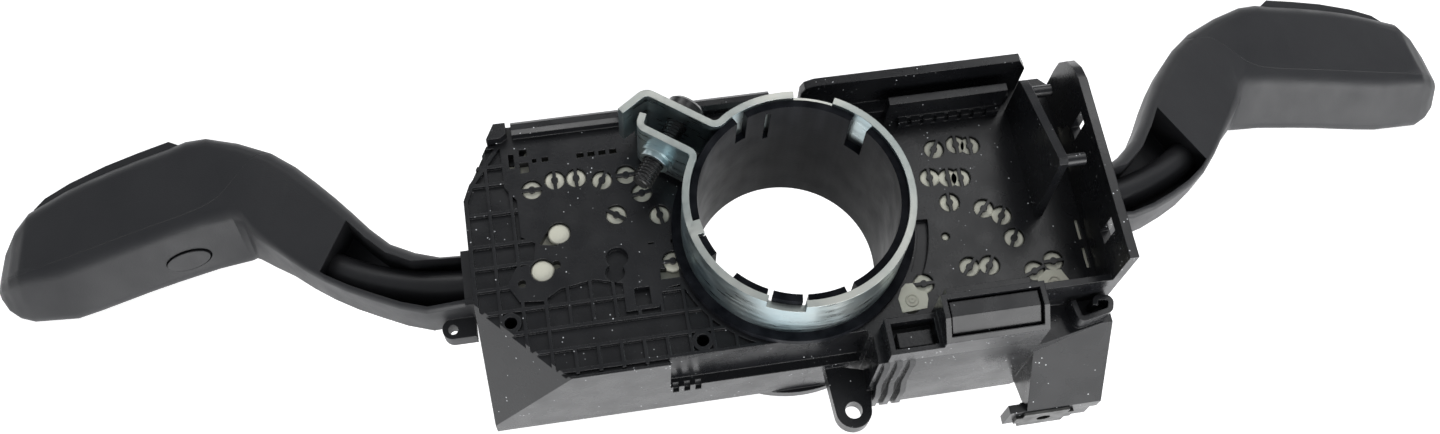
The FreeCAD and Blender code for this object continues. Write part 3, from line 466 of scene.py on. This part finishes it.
def board_details():
    """Pads, tabs and rivets of the carrier board, pale blocks painted as light through the slits,
    and the window's dark floor.
    """
    work = bmesh.new()
    for x, y, radius in [(x, y, key_pad_radius) for x, y in key_pads] + other_pads:
        stack(work, [circle(x, y, pad_foot, radius),
                     circle(x, y, pad_level - pad_chamfer, radius),
                     circle(x, y, pad_level, radius - pad_chamfer)])
    # Pale blocks in the board's colour: painted light showing through the slits
    for slit in light_slit_starts:
        edges = rectangle(light_slit_left, light_slit_right, slit, slit + light_slit_length)
        stack(work, at_levels(edges, pad_foot, pad_level))
    for outline, _ in tabs:
        stack(work, at_levels(outline, tab_foot, tab_level))
    finished("board_pads", work, "circuit_board", "carrier_board")
    work = bmesh.new()
    for _, (x, y) in tabs:
        stack(work, [circle(x, y, level, radius) for radius, level in stake_profile])
    finished("board_stakes", work, "circuit_board", "rivet_plastic")
    work = bmesh.new()
    stack(work, at_levels(rectangle(*window), pad_foot, window_level))
    finished("window_stop", work, "left_housing", "housing_plastic")


board_details()


# Floor: pale paper, seen white by the camera and a little darker in reflections
floor_size = 6.0
floor_drop = 0.2 * mm
paper_dark = (0.90, 0.90, 0.90)
paper_light = (0.92, 0.92, 0.92)
glow_for_camera = 0.62
glow_in_metal = 0.60


def paper_floor():
    """Floor under the lowest point of the switch, which keeps the switch's shadow."""
    low = cad_box[0]
    bpy.ops.mesh.primitive_plane_add(size=floor_size, location=(0, 0, low.z - floor_drop))
    floor = bpy.context.object
    floor.name = "floor"
    tree, shader, where = new_material("paper_floor")
    shade = ramp(tree, noise(tree, where, 3.0), [(0.3, paper_dark), (0.7, paper_light)])
    tree.links.new(shade, shader.inputs["Base Color"])
    shader.inputs["Roughness"].default_value = 0.9
    shader.inputs["Specular IOR Level"].default_value = 0.1
    shader.inputs["Emission Color"].default_value = (1.0, 1.0, 1.0, 1.0)
    path = tree.nodes.new("ShaderNodeLightPath")
    seen_directly = spread(tree, path.outputs["Is Camera Ray"], 0.0, glow_for_camera, 0.0, 1.0)
    mirrored = spread(tree, path.outputs["Is Glossy Ray"], 0.0, glow_in_metal, 0.0, 1.0)
    glow = combined(tree, "ADD", seen_directly, mirrored)
    tree.links.new(glow, shader.inputs["Emission Strength"])
    floor.data.materials.append(looks["paper_floor"])


# Studio dome: bright low down in front, dim overhead and behind
dome_axis = (0.0, 0.6, 0.8)
dome_shades = [(0.0, (0.74, 0.74, 0.74)), (0.30, (0.36, 0.37, 0.39)), (1.0, (0.32, 0.33, 0.35))]


def studio_dome():
    """World light, with a plain white background for the camera."""
    world = bpy.data.worlds.new("studio")
    scene.world = world
    world.use_nodes = True
    sky = world.node_tree
    background = next(n for n in sky.nodes if n.type == "BACKGROUND")
    direction = sky.nodes.new("ShaderNodeTexCoord")
    lean = sky.nodes.new("ShaderNodeVectorMath")
    lean.operation = "DOT_PRODUCT"
    lean.inputs[1].default_value = dome_axis
    sky.links.new(direction.outputs["Generated"], lean.inputs[0])
    away = spread(sky, lean.outputs["Value"], 0.0, 1.0, -0.3, 0.8)
    dome = ramp(sky, away, dome_shades)
    seen = sky.nodes.new("ShaderNodeLightPath")
    shown = mixed(sky, seen.outputs["Is Camera Ray"], dome, (1.0, 1.0, 1.0))
    sky.links.new(shown, background.inputs["Color"])
    background.inputs["Strength"].default_value = 1.0


def soft_light(name, place, target, size, power):
    """Rectangular lamp of the given size in metres and power in watts."""
    lamp = bpy.data.lights.new(name, "AREA")
    lamp.shape = "RECTANGLE"
    lamp.size, lamp.size_y = size
    lamp.energy = power
    holder = bpy.data.objects.new(name, lamp)
    scene.collection.objects.link(holder)
    holder.location = place
    aim = Vector(target) - Vector(place)
    holder.rotation_mode = "QUATERNION"
    holder.rotation_quaternion = aim.to_track_quat("-Z", "Y")


paper_floor()
studio_dome()
soft_light("near_light", (0.32, -0.95, 0.18), (0, 0, -0.02), (2.2, 0.9), 25.0)
soft_light("top_light", (0.1, 0.7, 0.7), (0, 0, 0), (1.2, 0.3), 3.5)
soft_light("bay_light", (0.38, 0.30, 0.90), (0.05, 0, 0), (0.35, 0.3), 0.55)
scene.view_settings.view_transform = "Standard"
